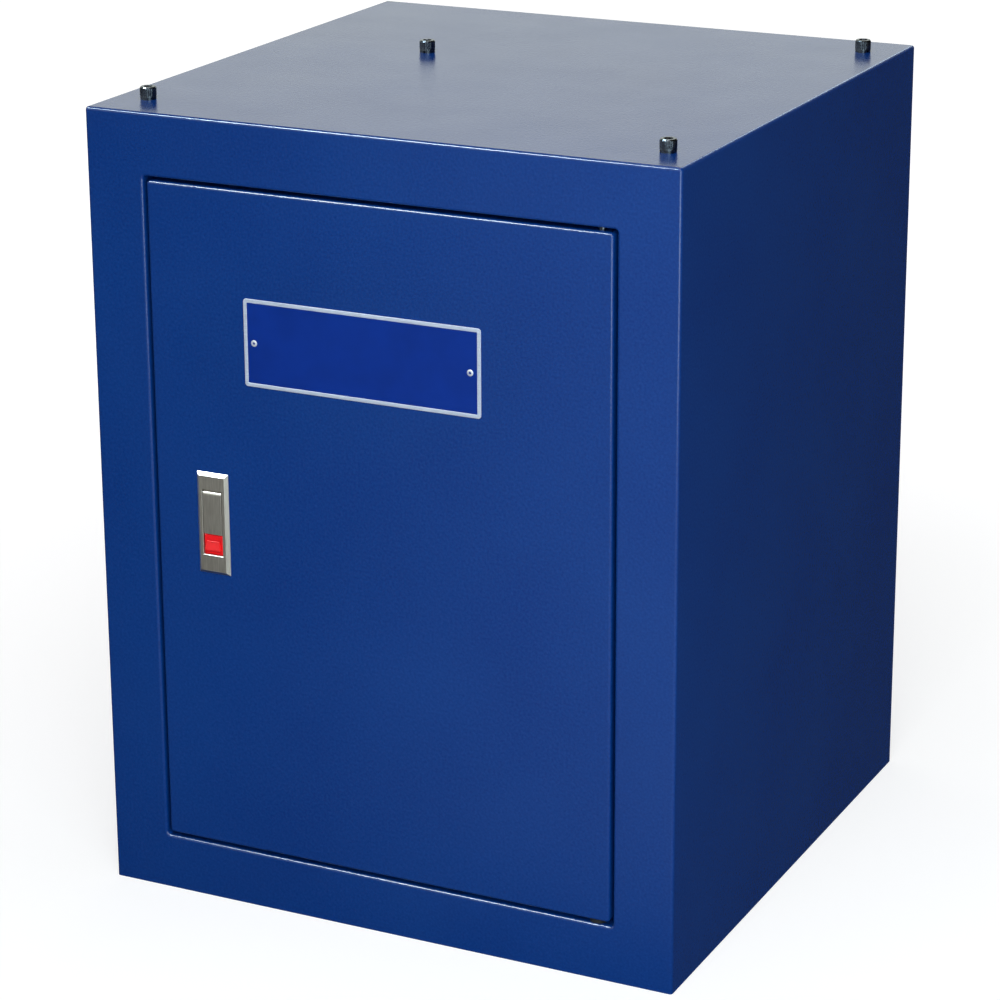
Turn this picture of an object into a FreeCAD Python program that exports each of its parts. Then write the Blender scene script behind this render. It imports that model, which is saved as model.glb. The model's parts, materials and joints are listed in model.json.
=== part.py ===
"""Welded sheet-steel machine stand: a closed cabinet with one inset door.

Millimetres. X runs to the right, Y to the back and Z up. The origin is the middle of the
footprint, on the floor. The door hangs on two hidden pivot pins at its right edge and is held
by a flush turn latch at its left edge. Four cap screws stand in the top for the machine.
"""
import FreeCAD, Part
import math
import os

V = FreeCAD.Vector

# Cabinet
WIDTH = 500.0
DEPTH = 500.0
HEIGHT = 650.0
SHEET = 1.5                 # steel sheet of the walls and the door
BEND_INSIDE_R = 1.0         # inside radius of every folded edge

# Door opening and the folded frame round it
FRAME_SIDE = 50.0           # width of the frame beside the opening
FRAME_TOP = 50.0
FRAME_BOTTOM = 46.5
OPENING_CORNER_R = 3.0
JAMB_DEPTH = 28.0           # how far the frame folds back into the cabinet
JAMB_LIP = 12.0             # outward lip on the back edge of the jamb

# Door pan
DOOR_GAP = 3.0
DOOR_DEPTH = 20.0
DOOR_CORNER_R = 3.0
DOOR_LIP = 15.0             # return lip round the back of the pan

# Hat channels inside the door
STIFFENER_SHEET = 1.2
STIFFENER_CROWN = 40.0
STIFFENER_DEPTH = 12.0
STIFFENER_FOOT = 12.0
STIFFENER_TOP_INSET = 50.0
STIFFENER_BOTTOM_INSET = 100.0
STIFFENER_END_GAP = 8.0

# Pivot hinges
PIVOT_INSET = 12.0          # pin axis from the right edge of the door
PIVOT_SETBACK = 8.0         # pin axis behind the face of the door
PIN_R = 3.0
PIN_FIT = 0.05              # radial clearance of every pin and shaft
PIN_STOP = 1.5              # pin end short of the end of its bush
BUSH_R = 6.0
BUSH_LENGTH = 10.0
PIN_HEAD_R = 5.0
PIN_HEAD_LENGTH = 2.0
THRUST_WASHER_R = 7.0

# Door stop with its seal, on the latch side
STOP_LEG = 14.0
STOP_END_INSET = 20.0
SEAL_THICKNESS = 3.0
SEAL_WIDTH = 9.0
SEAL_CLEARANCE = 0.3

# Floor pan
PAN_SHEET = 2.0
PAN_FLANGE = 25.0
PAN_CORNER_RELIEF = 6.0
ANCHOR_INSET = 50.0         # anchor holes from the outside of the cabinet
ANCHOR_HOLE_R = 5.5

# Machine fixing screws in the top, M8
SCREW_INSET_X = 30.0
SCREW_INSET_Y = 45.0
ODD_SCREW_INSET_X = 142.0   # the fourth screw stands well inside the top, from the left
ODD_SCREW_INSET_Y = 197.0   # and from the back
SCREW_R = 4.0
SCREW_LENGTH = 25.0
SCREW_HOLE_R = 4.5
SCREW_HEAD_R = 6.5
SCREW_HEAD_LENGTH = 8.0
SCREW_HEAD_CHAMFER = 0.8
SOCKET_FLATS = 6.0
SOCKET_DEPTH = 4.0
LOCK_WASHER_R = 6.4
LOCK_WASHER_HOLE_R = 4.2
LOCK_WASHER_THICKNESS = 2.0
LOCK_WASHER_SPLIT = 1.0
LOCK_WASHER_SPLIT_TILT = 30.0
NUT_FLATS = 13.0
NUT_THICKNESS = 6.5
THREAD_FIT = 0.05

# Channels under the top that carry the weld nuts
RAIL_WIDTH = 40.0
RAIL_DEPTH = 18.0
RAIL_SHEET = 2.0

# Nameplate, left blank
PLATE_WIDTH = 203.0
PLATE_HEIGHT = 70.0
PLATE_THICKNESS = 0.9
PLATE_CORNER_R = 2.5
PLATE_BORDER = 3.5
PLATE_FIELD_DEPTH = 0.25
PLATE_X = -11.5             # plate centre from the middle of the door
PLATE_DROP = 119.3          # plate centre below the top of the door
RIVET_EDGE = 8.8            # rivet axis from the end of the plate
RIVET_R = 1.6
RIVET_HEAD_R = 2.6
RIVET_HEAD_HEIGHT = 0.9
RIVET_TAIL = 2.5
RIVET_TAIL_R = 2.3
RIVET_BORE_R = 1.1          # open end that the mandrel leaves
RIVET_BORE_DEPTH = 2.0

# Flush latch
LATCH_INSET = 51.5          # latch centre from the left edge of the door
LATCH_HEIGHT = 275.5        # latch centre above the bottom of the door
ESCUTCHEON_WIDTH = 28.0
ESCUTCHEON_HEIGHT = 84.0
ESCUTCHEON_THICKNESS = 3.0
ESCUTCHEON_BEVEL = 2.6
LATCH_BODY_WIDTH = 22.0
LATCH_BODY_HEIGHT = 62.0
LATCH_BODY_DEPTH = 22.0     # behind the face of the door
LATCH_CUTOUT_GAP = 0.2
WINDOW_WIDTH = 17.5
WINDOW_RISE = 0.85          # window centre above the latch centre
WINDOW_HEIGHT = 53.7
WINDOW_CHAMFER = 0.25
LATCH_BACK_WALL = 4.0
STUD_R = 2.0
STUD_SPACING = 72.0
STUD_LENGTH = 9.0
STUD_HOLE_GAP = 0.2
STUD_NUT_FLATS = 7.0
STUD_NUT_THICKNESS = 3.2
CLAMP_WIDTH = 34.0
CLAMP_HEIGHT = 82.0
CLAMP_SHEET = 1.5

# Lift handle and its pin
HANDLE_GAP = 0.5            # between the handle and its window
HANDLE_LENGTH = 35.7
HANDLE_THICKNESS = 8.0
HANDLE_EDGE_R = 0.3
HANDLE_PIVOT_INSET = 3.0    # pin axis from the face and from the top of the handle
HANDLE_PIN_R = 1.25
HANDLE_PIN_END_GAP = 0.3

# Red release button
BUTTON_GAP = 0.3
BUTTON_HEIGHT = 16.6
BUTTON_RECESS = 0.8         # flat of the button behind the face of the latch
BUTTON_DEPTH = 9.0
BUTTON_BEVEL = 0.8
BUTTON_WEDGE_MARGIN = 1.4   # foot of the thumb wedge from the sides of the button
BUTTON_WEDGE_BASE = 4.2     # and from its lower edge
BUTTON_WEDGE_TAPER = 1.6    # how much narrower its top is, on each side
BUTTON_WEDGE_HEIGHT = 7.0
BUTTON_WEDGE_RISE = 2.3     # proud of the button at its foot
BUTTON_WEDGE_STEP = 0.6     # and at its top
BUTTON_STEM_R = 2.0
BUTTON_STEM_LENGTH = 8.0
SPRING_R = 3.2              # to the middle of the wire
SPRING_WIRE_R = 0.4
SPRING_TURNS = 6
SPRING_END_GAP = 0.15

# Cam shaft, cam and its nut
CAM_AXIS_RISE = 9.0         # cam axis above the latch centre
SHAFT_R = 4.0
SHAFT_HEAD_R = 5.5
SHAFT_HEAD_LENGTH = 2.0
SHAFT_BOSS_R = 7.0
SHAFT_END_PLAY = 1.0        # between the boss and the cam
SQUARE_FLATS = 5.6
SQUARE_FIT = 0.05
CAM_CLEARANCE = 1.0         # between the cam and the lip it catches
CAM_THICKNESS = 3.0
CAM_WIDTH = 18.0
CAM_ENGAGEMENT = 11.0
CAM_THREAD_R = 2.5
CAM_NUT_FLATS = 8.0
CAM_NUT_THICKNESS = 4.0
CAM_WASHER_R = 6.0
CAM_WASHER_THICKNESS = 1.2
CAM_THREAD_SPARE = 2.0

# Levels and planes that several pieces share
BEND_R = SHEET + BEND_INSIDE_R
FRONT = -DEPTH / 2
BACK = DEPTH / 2
SIDE = WIDTH / 2
OPENING_X = SIDE - FRAME_SIDE
OPENING_Z0 = FRAME_BOTTOM
OPENING_Z1 = HEIGHT - FRAME_TOP
JAMB_BACK = FRONT + JAMB_DEPTH
DOOR_X = OPENING_X - DOOR_GAP
DOOR_Z0 = OPENING_Z0 + DOOR_GAP
DOOR_Z1 = OPENING_Z1 - DOOR_GAP
DOOR_BACK = FRONT + DOOR_DEPTH
DOOR_INNER = FRONT + SHEET
PIVOT_X = DOOR_X - PIVOT_INSET
PIVOT_Y = FRONT + PIVOT_SETBACK
PLATE_Z = DOOR_Z1 - PLATE_DROP
LATCH_X = -DOOR_X + LATCH_INSET
LATCH_Z = DOOR_Z0 + LATCH_HEIGHT
TOP_UNDERSIDE = HEIGHT - SHEET
LATCH_FACE = FRONT - ESCUTCHEON_THICKNESS
LATCH_BODY_BACK = FRONT + LATCH_BODY_DEPTH
WINDOW_X0 = LATCH_X - WINDOW_WIDTH / 2
WINDOW_X1 = LATCH_X + WINDOW_WIDTH / 2
WINDOW_Z0 = LATCH_Z + WINDOW_RISE - WINDOW_HEIGHT / 2
WINDOW_Z1 = LATCH_Z + WINDOW_RISE + WINDOW_HEIGHT / 2
WINDOW_BACK = LATCH_BODY_BACK - LATCH_BACK_WALL
HANDLE_TOP = WINDOW_Z1 - HANDLE_GAP
HANDLE_PIVOT_Y = LATCH_FACE + HANDLE_PIVOT_INSET
HANDLE_PIVOT_Z = HANDLE_TOP - HANDLE_PIVOT_INSET
BUTTON_FRONT = LATCH_FACE + BUTTON_RECESS
BUTTON_BACK = BUTTON_FRONT + BUTTON_DEPTH
BUTTON_Z0 = WINDOW_Z0 + BUTTON_GAP
BUTTON_MID_Z = BUTTON_Z0 + BUTTON_HEIGHT / 2
CAM_FRONT = JAMB_BACK + CAM_CLEARANCE
CAM_BACK = CAM_FRONT + CAM_THICKNESS
CAM_AXIS_Z = LATCH_Z + CAM_AXIS_RISE
CAM_LENGTH = LATCH_X + OPENING_X + SHEET + CAM_ENGAGEMENT
TOP_SCREWS = [
    V(-SIDE + SCREW_INSET_X, FRONT + SCREW_INSET_Y, HEIGHT),
    V(SIDE - SCREW_INSET_X, FRONT + SCREW_INSET_Y, HEIGHT),
    V(SIDE - SCREW_INSET_X, BACK - SCREW_INSET_Y, HEIGHT),
    V(-SIDE + ODD_SCREW_INSET_X, BACK - ODD_SCREW_INSET_Y, HEIGHT),
]
REACH = 2 * max(WIDTH, DEPTH, HEIGHT)   # longer than the whole cabinet, for cutting blocks
OVERCUT = 1.0               # how far a cut runs past the faces that it opens
NEAR = 0.01                 # closer than this counts as touching


def block(x0, x1, y0, y1, z0, z1):
    """Rectangular block between its limits."""
    return Part.makeBox(x1 - x0, y1 - y0, z1 - z0, V(x0, y0, z0))


def rod(radius, start, end):
    """Round bar from one point to another."""
    run = end.sub(start)
    return Part.makeCylinder(radius, run.Length, start, run)


def ring(outer_r, inner_r, start, end):
    """Round bar with a bore through it."""
    return rod(outer_r, start, end).cut(rod(inner_r, start, end))


def cone(start_r, end_r, start, end):
    """Tapered round bar from one point to another."""
    run = end.sub(start)
    return Part.makeCone(start_r, end_r, run.Length, start, run)


def polygon_bar(sides, across_flats, start, end):
    """Square or hexagonal bar from one point to another."""
    run = end.sub(start)
    corner_r = across_flats / 2 / math.cos(math.pi / sides)
    turn = 2 * math.pi / sides
    corners = []
    for k in range(sides + 1):
        angle = turn * (k + 0.5)
        corners.append(V(corner_r * math.cos(angle), corner_r * math.sin(angle), 0))
    bar = Part.Face(Part.makePolygon(corners)).extrude(V(0, 0, run.Length))
    bar.Placement = FreeCAD.Placement(start, FreeCAD.Rotation(V(0, 0, 1), run))
    return bar


def fillet_where(shape, radius, wanted):
    """Round the edges whose bounding box passes the test."""
    edges = [edge for edge in shape.Edges if wanted(edge.BoundBox)]
    return shape.makeFillet(radius, edges)


def y_slab(half_x, z0, z1, y0, y1, corner_r, mid_x=0.0):
    """Upright slab facing Y with rounded corners."""
    slab = block(mid_x - half_x, mid_x + half_x, y0, y1, z0, z1)
    return fillet_where(slab, corner_r, lambda b: b.XLength < NEAR and b.ZLength < NEAR)


def round_front_rim(shape, plane_y, half_x, z0, z1, radius):
    """Round the closed rim that lies in one plane inside the given window."""
    def on_rim(b):
        flat = abs(b.YMin - plane_y) < NEAR and abs(b.YMax - plane_y) < NEAR
        inside = b.XMin > -half_x - NEAR and b.XMax < half_x + NEAR
        return flat and inside and b.ZMin > z0 - NEAR and b.ZMax < z1 + NEAR
    return fillet_where(shape, radius, on_rim)


def folded_shell():
    """Walls and top as one thin skin with folded edges, open below."""
    def folded(b):
        return b.ZLength > HEIGHT / 2 or b.ZMin > HEIGHT - SHEET - NEAR
    outer = fillet_where(block(-SIDE, SIDE, FRONT, BACK, 0, HEIGHT), BEND_R, folded)
    hollow = block(-SIDE + SHEET, SIDE - SHEET, FRONT + SHEET, BACK - SHEET, -SHEET, TOP_UNDERSIDE)
    return outer.cut(fillet_where(hollow, BEND_INSIDE_R, folded))


def top_panel(shell):
    """Top sheet with its folded rim and the screw clearance holes."""
    panel = shell.common(block(-REACH, REACH, -REACH, REACH, HEIGHT - BEND_R, REACH))
    for place in TOP_SCREWS:
        panel = panel.cut(rod(SCREW_HOLE_R, place - V(0, 0, BEND_R), place + V(0, 0, OVERCUT)))
    return panel


def wall(shell, x0, x1, y0, y1):
    """Part of the skin below the top panel, between two pairs of limits."""
    return shell.common(block(x0, x1, y0, y1, -REACH, HEIGHT - BEND_R))


def frame_hoop(grow, y0, y1):
    """Closed hoop round the door opening, its outside grown by the given width."""
    outside = y_slab(OPENING_X + grow, OPENING_Z0 - grow, OPENING_Z1 + grow, y0, y1,
                     OPENING_CORNER_R + grow)
    return outside.cut(opening_prism())


def opening_prism():
    """Space of the doorway, from in front of the frame to behind the jamb."""
    return y_slab(OPENING_X, OPENING_Z0, OPENING_Z1, FRONT - SHEET, JAMB_BACK + SHEET,
                  OPENING_CORNER_R)


def front_frame(shell):
    """Front sheet with the folded jamb and the lip behind it."""
    face = wall(shell, -REACH, REACH, -REACH, FRONT + BEND_R).cut(opening_prism())
    jamb = frame_hoop(SHEET, DOOR_INNER, JAMB_BACK)
    lip = frame_hoop(SHEET + JAMB_LIP, JAMB_BACK - SHEET, JAMB_BACK)
    frame = face.fuse([jamb, lip]).removeSplitter()
    for z in (OPENING_Z0 - SHEET / 2, OPENING_Z1 + SHEET / 2):
        frame = frame.cut(pivot_rod(PIN_R + PIN_FIT, z - SHEET, z + SHEET))
    return round_front_rim(frame, FRONT, OPENING_X, OPENING_Z0, OPENING_Z1, BEND_R)


def pivot_rod(radius, z0, z1):
    """Round bar on the axis of the door's pivots."""
    return rod(radius, V(PIVOT_X, PIVOT_Y, z0), V(PIVOT_X, PIVOT_Y, z1))


def pivot_ring(outer_r, z0, z1):
    """Bored bar on the axis of the door's pivots, a running fit on the pins."""
    return pivot_rod(outer_r, z0, z1).cut(pivot_rod(PIN_R + PIN_FIT, z0, z1))


def floor_pan():
    """Bottom tray with upturned flanges and four anchor holes."""
    inner_x = SIDE - SHEET
    inner_y = BACK - SHEET
    corner = PAN_CORNER_RELIEF / 2
    plate = block(-inner_x, inner_x, -inner_y, inner_y, 0, PAN_SHEET)
    upright = [edge for edge in plate.Edges if edge.BoundBox.ZLength > PAN_SHEET / 2]
    pan = plate.makeChamfer(corner, upright)
    run_x = inner_x - PAN_CORNER_RELIEF
    run_y = inner_y - PAN_CORNER_RELIEF
    for side in (-1, 1):
        x0, x1 = sorted((side * inner_x, side * (inner_x - PAN_SHEET)))
        y0, y1 = sorted((side * inner_y, side * (inner_y - PAN_SHEET)))
        pan = pan.fuse(block(x0, x1, -run_y, run_y, 0, PAN_FLANGE))
        pan = pan.fuse(block(-run_x, run_x, y0, y1, 0, PAN_FLANGE))
    for x in (-SIDE + ANCHOR_INSET, SIDE - ANCHOR_INSET):
        for y in (FRONT + ANCHOR_INSET, BACK - ANCHOR_INSET):
            pan = pan.cut(rod(ANCHOR_HOLE_R, V(x, y, -OVERCUT), V(x, y, PAN_SHEET + OVERCUT)))
    return pan.removeSplitter()


def top_rail(y_mid):
    """Channel under the top, open below, drilled where a screw passes."""
    x1 = SIDE - BEND_R
    half = RAIL_WIDTH / 2
    z0 = TOP_UNDERSIDE - RAIL_DEPTH
    web = TOP_UNDERSIDE - RAIL_SHEET
    rail = block(-x1, x1, y_mid - half, y_mid + half, z0, TOP_UNDERSIDE)
    rail = rail.cut(block(-REACH, REACH, y_mid - half + RAIL_SHEET, y_mid + half - RAIL_SHEET,
                          z0 - OVERCUT, web))
    for place in TOP_SCREWS:
        if abs(place.y - y_mid) < NEAR:
            rail = rail.cut(rod(SCREW_HOLE_R, V(place.x, place.y, web - OVERCUT), place))
    return rail


def weld_nut(place):
    """Hexagonal nut under the web of its rail."""
    top = V(place.x, place.y, TOP_UNDERSIDE - RAIL_SHEET)
    base = top - V(0, 0, NUT_THICKNESS)
    return polygon_bar(6, NUT_FLATS, base, top).cut(rod(SCREW_R + THREAD_FIT, base, top))


def lock_washer(place):
    """Split spring washer that stands on the top."""
    washer = ring(LOCK_WASHER_R, LOCK_WASHER_HOLE_R, place, place + V(0, 0, LOCK_WASHER_THICKNESS))
    half = LOCK_WASHER_SPLIT / 2
    slot = block(-half, half, -2 * LOCK_WASHER_R, 0, -LOCK_WASHER_R, LOCK_WASHER_R)
    slot.rotate(V(0, 0, 0), V(0, 1, 0), LOCK_WASHER_SPLIT_TILT)
    slot.translate(place + V(0, 0, LOCK_WASHER_THICKNESS / 2))
    return washer.cut(slot)


def cap_screw(place):
    """Socket head cap screw on its lock washer."""
    seat = place + V(0, 0, LOCK_WASHER_THICKNESS)
    top = seat + V(0, 0, SCREW_HEAD_LENGTH)
    neck = top - V(0, 0, SCREW_HEAD_CHAMFER)
    head = rod(SCREW_HEAD_R, seat, neck)
    head = head.fuse(cone(SCREW_HEAD_R, SCREW_HEAD_R - SCREW_HEAD_CHAMFER, neck, top))
    head = head.cut(polygon_bar(6, SOCKET_FLATS, top - V(0, 0, SOCKET_DEPTH),
                                top + V(0, 0, OVERCUT)))
    shank = rod(SCREW_R, seat - V(0, 0, SCREW_LENGTH), seat)
    return head.fuse(shank).removeSplitter()


def door_stop():
    """Angle on the latch side of the jamb that the door closes against."""
    z0 = OPENING_Z0 + STOP_END_INSET
    z1 = OPENING_Z1 - STOP_END_INSET
    front = DOOR_BACK + SEAL_CLEARANCE + SEAL_THICKNESS
    leg = block(-OPENING_X, -OPENING_X + STOP_LEG, front, front + SHEET, z0, z1)
    root = block(-OPENING_X, -OPENING_X + SHEET, front, JAMB_BACK, z0, z1)
    return leg.fuse(root).removeSplitter()


def door_seal():
    """Foam strip on the face of the door stop."""
    x1 = -OPENING_X + STOP_LEG
    y0 = DOOR_BACK + SEAL_CLEARANCE
    z0 = OPENING_Z0 + STOP_END_INSET
    z1 = OPENING_Z1 - STOP_END_INSET
    return block(x1 - SEAL_WIDTH, x1, y0, y0 + SEAL_THICKNESS, z0, z1)


def hinge_pin(outward, jamb_z):
    """Headed pin through the frame boss, the jamb, the door flange and the door bush."""
    boss_end = jamb_z + outward * (SHEET + BUSH_LENGTH)
    tip = jamb_z - outward * (DOOR_GAP + SHEET + BUSH_LENGTH - PIN_STOP)
    pin = pivot_rod(PIN_R, *sorted((tip, boss_end)))
    head = pivot_rod(PIN_HEAD_R, *sorted((boss_end, boss_end + outward * PIN_HEAD_LENGTH)))
    return pin.fuse(head).removeSplitter()


def frame_boss(outward, jamb_z):
    """Welded boss that holds a pin on the hidden side of the jamb."""
    near = jamb_z + outward * SHEET
    return pivot_ring(BUSH_R, *sorted((near, near + outward * BUSH_LENGTH)))


def door_bush(outward, jamb_z):
    """Bush inside the door pan, against the inside of its flange."""
    near = jamb_z - outward * (DOOR_GAP + SHEET)
    return pivot_ring(BUSH_R, *sorted((near, near - outward * BUSH_LENGTH)))


def thrust_washer():
    """Washer that carries the door on the lower jamb."""
    return pivot_ring(THRUST_WASHER_R, OPENING_Z0, DOOR_Z0)


def door_panel():
    """Folded door pan with cut-outs for the latch, the rivets and the pivots."""
    skin = y_slab(DOOR_X, DOOR_Z0, DOOR_Z1, FRONT, DOOR_BACK, DOOR_CORNER_R)
    skin = round_front_rim(skin, FRONT, DOOR_X, DOOR_Z0, DOOR_Z1, BEND_R)
    hollow = block(-DOOR_X + SHEET, DOOR_X - SHEET, DOOR_INNER, DOOR_BACK - SHEET,
                   DOOR_Z0 + SHEET, DOOR_Z1 - SHEET)
    mouth = block(-DOOR_X + DOOR_LIP, DOOR_X - DOOR_LIP, DOOR_INNER, DOOR_BACK + SHEET,
                  DOOR_Z0 + DOOR_LIP, DOOR_Z1 - DOOR_LIP)
    door = skin.cut([hollow, mouth])
    for z in (DOOR_Z0 + SHEET / 2, DOOR_Z1 - SHEET / 2):
        door = door.cut(pivot_rod(PIN_R + PIN_FIT, z - SHEET, z + SHEET))
    for x in rivet_places():
        door = door.cut(drill(RIVET_R + PIN_FIT, x, PLATE_Z, FRONT, DOOR_INNER))
    for z in stud_levels():
        door = door.cut(drill(STUD_R + STUD_HOLE_GAP, LATCH_X, z, FRONT, DOOR_INNER))
    return door.cut(latch_block(LATCH_CUTOUT_GAP, FRONT - OVERCUT, DOOR_INNER + OVERCUT))


def y_rod(radius, x, z, y0, y1):
    """Round bar along Y."""
    return rod(radius, V(x, y0, z), V(x, y1, z))


def drill(radius, x, z, y0, y1):
    """Hole along Y from one face to another, run past both."""
    return y_rod(radius, x, z, y0 - OVERCUT, y1 + OVERCUT)


def door_stiffener(z_mid):
    """Hat channel across the inside of the door, feet on the back of the door sheet."""
    half_x = DOOR_X - SHEET - STIFFENER_END_GAP
    half_z = STIFFENER_CROWN / 2
    crown = DOOR_INNER + STIFFENER_DEPTH
    hat = block(-half_x, half_x, DOOR_INNER, crown, z_mid - half_z, z_mid + half_z)
    hat = hat.cut(block(-REACH, REACH, DOOR_INNER - OVERCUT, crown - STIFFENER_SHEET,
                        z_mid - half_z + STIFFENER_SHEET, z_mid + half_z - STIFFENER_SHEET))
    foot_back = DOOR_INNER + STIFFENER_SHEET
    for z0 in (z_mid - half_z - STIFFENER_FOOT, z_mid + half_z):
        hat = hat.fuse(block(-half_x, half_x, DOOR_INNER, foot_back, z0, z0 + STIFFENER_FOOT))
    return hat.removeSplitter()


def rivet_places():
    """X of the two rivets of the nameplate."""
    reach = PLATE_WIDTH / 2 - RIVET_EDGE
    return PLATE_X - reach, PLATE_X + reach


def nameplate():
    """Blank plate with a raised border."""
    z0 = PLATE_Z - PLATE_HEIGHT / 2
    z1 = PLATE_Z + PLATE_HEIGHT / 2
    face = FRONT - PLATE_THICKNESS
    plate = y_slab(PLATE_WIDTH / 2, z0, z1, face, FRONT, PLATE_CORNER_R, PLATE_X)
    plate = plate.cut(block(PLATE_X - PLATE_WIDTH / 2 + PLATE_BORDER,
                            PLATE_X + PLATE_WIDTH / 2 - PLATE_BORDER,
                            face - OVERCUT, face + PLATE_FIELD_DEPTH,
                            z0 + PLATE_BORDER, z1 - PLATE_BORDER))
    for x in rivet_places():
        plate = plate.cut(drill(RIVET_R + PIN_FIT, x, PLATE_Z, face, FRONT))
    return plate


def plate_rivet(x):
    """Blind rivet: domed head, shank and upset tail behind the door sheet."""
    seat = FRONT - PLATE_THICKNESS + PLATE_FIELD_DEPTH
    rise = RIVET_HEAD_HEIGHT
    dome_r = (RIVET_HEAD_R ** 2 + rise ** 2) / (2 * rise)
    centre = V(x, seat - rise + dome_r, PLATE_Z)
    head = Part.makeSphere(dome_r, centre).common(
        y_rod(RIVET_HEAD_R, x, PLATE_Z, seat - rise - OVERCUT, seat))
    bore = y_rod(RIVET_BORE_R, x, PLATE_Z, seat - rise - OVERCUT, seat - rise + RIVET_BORE_DEPTH)
    shank = y_rod(RIVET_R, x, PLATE_Z, seat, DOOR_INNER)
    tail = y_rod(RIVET_TAIL_R, x, PLATE_Z, DOOR_INNER, DOOR_INNER + RIVET_TAIL)
    return head.fuse([shank, tail]).cut(bore)


def latch_block(grow, y0, y1):
    """Block of the latch body, grown all round for the cut-out it passes."""
    half_x = LATCH_BODY_WIDTH / 2 + grow
    half_z = LATCH_BODY_HEIGHT / 2 + grow
    return block(LATCH_X - half_x, LATCH_X + half_x, y0, y1, LATCH_Z - half_z, LATCH_Z + half_z)


def stud_levels():
    """Z of the two fixing studs of the latch."""
    return LATCH_Z - STUD_SPACING / 2, LATCH_Z + STUD_SPACING / 2


def latch_housing():
    """Die-cast housing: bevelled face, body through the door, window, studs and shaft boss."""
    half_x = ESCUTCHEON_WIDTH / 2
    half_z = ESCUTCHEON_HEIGHT / 2
    face = block(LATCH_X - half_x, LATCH_X + half_x, LATCH_FACE, FRONT,
                 LATCH_Z - half_z, LATCH_Z + half_z)
    rim = [edge for edge in face.Edges if edge.BoundBox.YMax < LATCH_FACE + NEAR]
    face = face.makeChamfer(ESCUTCHEON_BEVEL, rim)
    pieces = [latch_block(0, FRONT, LATCH_BODY_BACK)]
    for z in stud_levels():
        pieces.append(y_rod(STUD_R, LATCH_X, z, FRONT, FRONT + STUD_LENGTH))
    pieces.append(y_rod(SHAFT_BOSS_R, LATCH_X, CAM_AXIS_Z, LATCH_BODY_BACK,
                        CAM_FRONT - SHAFT_END_PLAY))
    housing = face.fuse(pieces).removeSplitter()
    housing = housing.cut(block(WINDOW_X0, WINDOW_X1, LATCH_FACE - OVERCUT, WINDOW_BACK,
                                WINDOW_Z0, WINDOW_Z1))
    housing = housing.makeChamfer(WINDOW_CHAMFER, window_rim(housing))
    housing = housing.cut(drill(SHAFT_R + PIN_FIT, LATCH_X, CAM_AXIS_Z, WINDOW_BACK, CAM_FRONT))
    return housing.cut(handle_cross_rod(HANDLE_PIN_R + PIN_FIT, LATCH_BODY_WIDTH / 2))


def window_rim(housing):
    """The four front edges of the window, inside the face of the housing."""
    rim = []
    for edge in housing.Edges:
        b = edge.BoundBox
        on_face = abs(b.YMin - LATCH_FACE) < NEAR and abs(b.YMax - LATCH_FACE) < NEAR
        in_x = b.XMin > WINDOW_X0 - NEAR and b.XMax < WINDOW_X1 + NEAR
        in_z = b.ZMin > WINDOW_Z0 - NEAR and b.ZMax < WINDOW_Z1 + NEAR
        if on_face and in_x and in_z:
            rim.append(edge)
    return rim


def handle_cross_rod(radius, half_x):
    """Round bar across the latch on the axis of the handle."""
    start = V(LATCH_X - half_x, HANDLE_PIVOT_Y, HANDLE_PIVOT_Z)
    return rod(radius, start, start + V(2 * half_x, 0, 0))


def latch_clamp_plate():
    """Plate behind the door sheet, round the latch body."""
    half_x = CLAMP_WIDTH / 2
    half_z = CLAMP_HEIGHT / 2
    clamp_back = DOOR_INNER + CLAMP_SHEET
    plate = block(LATCH_X - half_x, LATCH_X + half_x, DOOR_INNER, clamp_back,
                  LATCH_Z - half_z, LATCH_Z + half_z)
    for z in stud_levels():
        plate = plate.cut(drill(STUD_R + STUD_HOLE_GAP, LATCH_X, z, DOOR_INNER, clamp_back))
    return plate.cut(latch_block(LATCH_CUTOUT_GAP, DOOR_INNER - OVERCUT, clamp_back + OVERCUT))


def stud_nut(z):
    """Hexagonal nut on a latch stud, against the clamp plate."""
    start = V(LATCH_X, DOOR_INNER + CLAMP_SHEET, z)
    end = start + V(0, STUD_NUT_THICKNESS, 0)
    return polygon_bar(6, STUD_NUT_FLATS, start, end).cut(rod(STUD_R + THREAD_FIT, start, end))


def latch_handle():
    """Flat lift handle, rounded about its pin at the top."""
    half_x = WINDOW_WIDTH / 2 - HANDLE_GAP
    inset = HANDLE_PIVOT_INSET
    bar = block(LATCH_X - half_x, LATCH_X + half_x, LATCH_FACE, LATCH_FACE + HANDLE_THICKNESS,
                HANDLE_TOP - HANDLE_LENGTH, HANDLE_TOP)
    bar = bar.cut(block(-REACH, REACH, LATCH_FACE - OVERCUT, HANDLE_PIVOT_Y, HANDLE_PIVOT_Z,
                        HANDLE_TOP + OVERCUT))
    bar = bar.fuse(handle_cross_rod(inset, half_x)).removeSplitter()

    def long_front_edge(b):
        return b.YMax < LATCH_FACE + NEAR and b.ZLength > HANDLE_LENGTH / 2
    bar = fillet_where(bar, HANDLE_EDGE_R, long_front_edge)
    return bar.cut(handle_cross_rod(HANDLE_PIN_R + PIN_FIT, half_x + OVERCUT))


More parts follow.
